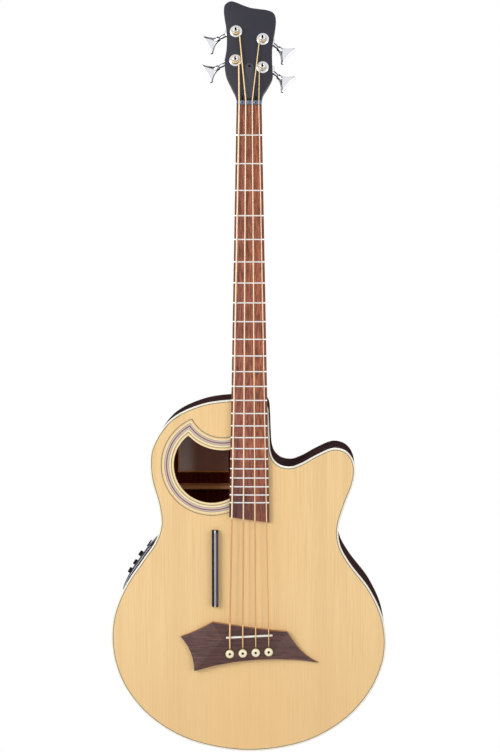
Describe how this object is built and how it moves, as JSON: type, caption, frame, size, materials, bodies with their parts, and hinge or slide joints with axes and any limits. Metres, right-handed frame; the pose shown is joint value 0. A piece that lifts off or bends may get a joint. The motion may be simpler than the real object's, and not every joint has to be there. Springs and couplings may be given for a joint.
{
  "type": "acoustic bass guitar",
  "caption": "Acoustic bass guitar with a cutaway, an offset crescent sound hole, geared tuners, a pinned bridge and preamp controls in its side.",
  "frame": {"origin": "on the centre line at the nut, in the plane of the soundboard's face: where the two arms of a hanger hold the guitar under its headstock", "axes": "+X from the thickest string to the thinnest, +Y from the soundboard into the body, +Z from the bridge towards the headstock"},
  "size_m": [0.4542, 0.1373, 1.25],
  "materials": {
    "spruce_top": "gloss",
    "dark_wood": "gloss",
    "inner_wood": "bare",
    "cream_binding": "gloss",
    "rosette_inlay": "gloss",
    "label_paper": "matte",
    "bridge_wood": "satin",
    "board_wood": "satin",
    "satin_neck": "satin",
    "nut_metal": "satin",
    "black_plastic": "satin",
    "chrome": "polished",
    "rod_steel": "brushed",
    "bone": "satin",
    "string_bronze": "wound"
  },
  "bodies": {
    "guitar": {"soundboard": "spruce_top", "back_plate": "dark_wood", "treble_side": "dark_wood", "bass_side": "dark_wood", "neck_block": "inner_wood", "tail_block": "inner_wood", "top_lining_bass": "inner_wood", "top_lining_treble": "inner_wood", "back_lining_bass": "inner_wood", "back_lining_treble": "inner_wood", "upper_brace": "inner_wood", "waist_brace": "inner_wood", "back_brace_1": "inner_wood", "back_brace_2": "inner_wood", "back_brace_3": "inner_wood", "x_brace": "inner_wood", "tone_bar": "inner_wood", "bridge_plate": "inner_wood", "top_binding": "cream_binding", "back_binding": "cream_binding", "rosette": "rosette_inlay", "label": "label_paper", "bridge": "bridge_wood", "fingerboard": "board_wood", "neck": "satin_neck", "nut": "nut_metal", "preamp": "black_plastic", "truss_rod_cover": "black_plastic", "thumb_rest": "black_plastic", "endpin_jack": "chrome", "tuner_case_e": "chrome", "tuner_bushing_e": "chrome", "tuner_case_a": "chrome", "tuner_bushing_a": "chrome", "tuner_case_d": "chrome", "tuner_bushing_d": "chrome", "tuner_case_g": "chrome", "tuner_bushing_g": "chrome", "truss_rod": "rod_steel", "saddle": "bone", "bridge_pin_e": "bone", "bridge_pin_a": "bone", "bridge_pin_d": "bone", "bridge_pin_g": "bone", "string_e": "string_bronze", "string_a": "string_bronze", "string_d": "string_bronze", "string_g": "string_bronze"},
    "e_key": {"tuner_key_e": "chrome"},
    "a_key": {"tuner_key_a": "chrome"},
    "d_key": {"tuner_key_d": "chrome"},
    "g_key": {"tuner_key_g": "chrome"},
    "e_post": {"tuner_post_e": "chrome"},
    "a_post": {"tuner_post_a": "chrome"},
    "d_post": {"tuner_post_d": "chrome"},
    "g_post": {"tuner_post_g": "chrome"},
    "volume": {"volume_knob": "black_plastic"},
    "bass": {"bass_knob": "black_plastic"},
    "treble": {"treble_knob": "black_plastic"},
    "button": {"tuner_button": "black_plastic"}
  },
  "joints": [
    {"name": "e_key_turn", "type": "hinge", "parent": "guitar", "child": "e_key", "pos_m": [-0.0274, 0.04003, 0.07537], "axis": [-0.8746, -0.1173, -0.4704], "continuous": true},
    {"name": "a_key_turn", "type": "hinge", "parent": "guitar", "child": "a_key", "pos_m": [-0.02702, 0.05186, 0.1228], "axis": [-0.8746, -0.1173, -0.4704], "continuous": true},
    {"name": "d_key_turn", "type": "hinge", "parent": "guitar", "child": "d_key", "pos_m": [0.02753, 0.04843, 0.10907], "axis": [0.766, -0.1555, -0.6237], "continuous": true},
    {"name": "g_key_turn", "type": "hinge", "parent": "guitar", "child": "g_key", "pos_m": [0.02744, 0.03693, 0.06293], "axis": [0.766, -0.1555, -0.6237], "continuous": true},
    {"name": "e_post_turn", "type": "hinge", "parent": "guitar", "child": "e_post", "pos_m": [-0.02269, 0.01634, 0.07253], "axis": [0, -0.9703, 0.2419], "continuous": true},
    {"name": "a_post_turn", "type": "hinge", "parent": "guitar", "child": "a_post", "pos_m": [-0.02231, 0.02817, 0.11997], "axis": [0, -0.9703, 0.2419], "continuous": true},
    {"name": "d_post_turn", "type": "hinge", "parent": "guitar", "child": "d_post", "pos_m": [0.02129, 0.025, 0.10725], "axis": [0, -0.9703, 0.2419], "continuous": true},
    {"name": "g_post_turn", "type": "hinge", "parent": "guitar", "child": "g_post", "pos_m": [0.02121, 0.01349, 0.06112], "axis": [0, -0.9703, 0.2419], "continuous": true},
    {"name": "volume_turn", "type": "hinge", "parent": "guitar", "child": "volume", "pos_m": [-0.1784, 0.057, -0.74781], "axis": [-0.8182, 0, 0.5749], "range_deg": [-135, 135]},
    {"name": "bass_turn", "type": "hinge", "parent": "guitar", "child": "bass", "pos_m": [-0.18835, 0.057, -0.76191], "axis": [-0.8304, 0, 0.5571], "range_deg": [-135, 135]},
    {"name": "treble_turn", "type": "hinge", "parent": "guitar", "child": "treble", "pos_m": [-0.19708, 0.057, -0.77541], "axis": [-0.8533, 0, 0.5215], "range_deg": [-135, 135]},
    {"name": "button_press", "type": "slide", "parent": "guitar", "child": "button", "axis": [0.8365, 0, -0.548], "range_m": [0, 0.0006], "stiffness_N_per_m": 400, "springref_m": -0.0005}
  ],
  "couplings": [
    {"joint": "e_post_turn", "follows": "e_key_turn", "ratio": 0.05},
    {"joint": "a_post_turn", "follows": "a_key_turn", "ratio": 0.05},
    {"joint": "d_post_turn", "follows": "d_key_turn", "ratio": -0.05},
    {"joint": "g_post_turn", "follows": "g_key_turn", "ratio": -0.05}
  ]
}
